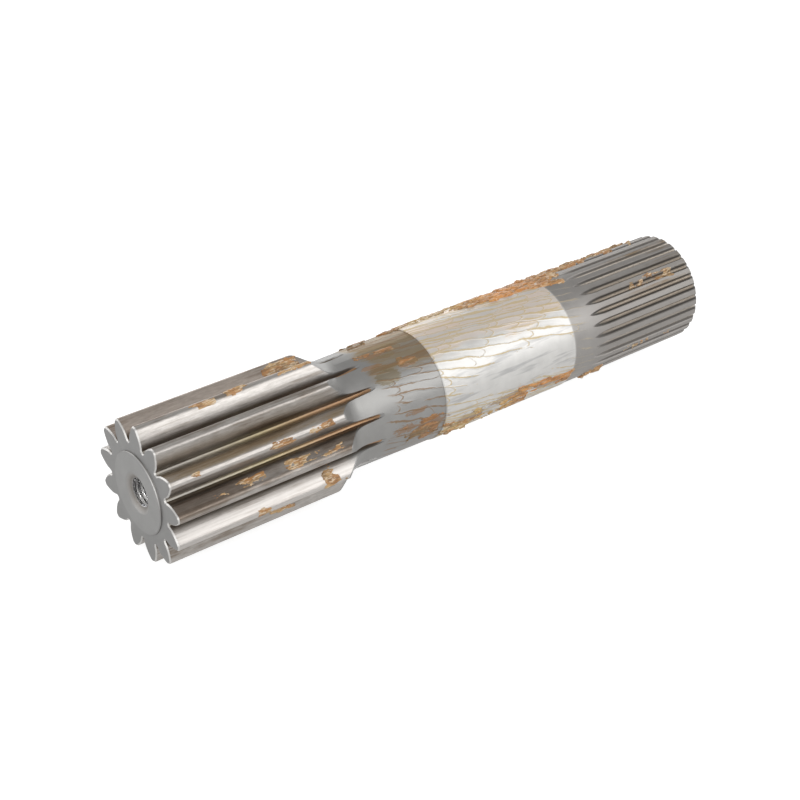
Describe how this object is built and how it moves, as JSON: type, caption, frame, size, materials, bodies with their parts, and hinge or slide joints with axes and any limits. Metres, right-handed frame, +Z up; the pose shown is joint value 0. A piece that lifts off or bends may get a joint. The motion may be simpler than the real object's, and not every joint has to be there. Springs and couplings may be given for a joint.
{
  "type": "pinion shaft",
  "caption": "One-piece steel machine shaft: a straight-toothed pinion, a waisted neck, a ground bearing seat and a splined end, with cracked preserving wax on its skin.",
  "frame": {"origin": "on the shaft's axis, in the plane of the raised end face of the pinion", "axes": "+X along the axis from the pinion end to the splined end, +Z up with one pinion tooth pointing straight up, as the shaft lies on two tooth tips"},
  "size_m": [0.2839, 0.0596, 0.0593],
  "materials": {
    "steel": "ground and turned steel, teeth and bearing seat brighter, under a cracked amber wax film"
  },
  "bodies": {
    "root": {"shaft": "steel"}
  },
  "joints": []
}
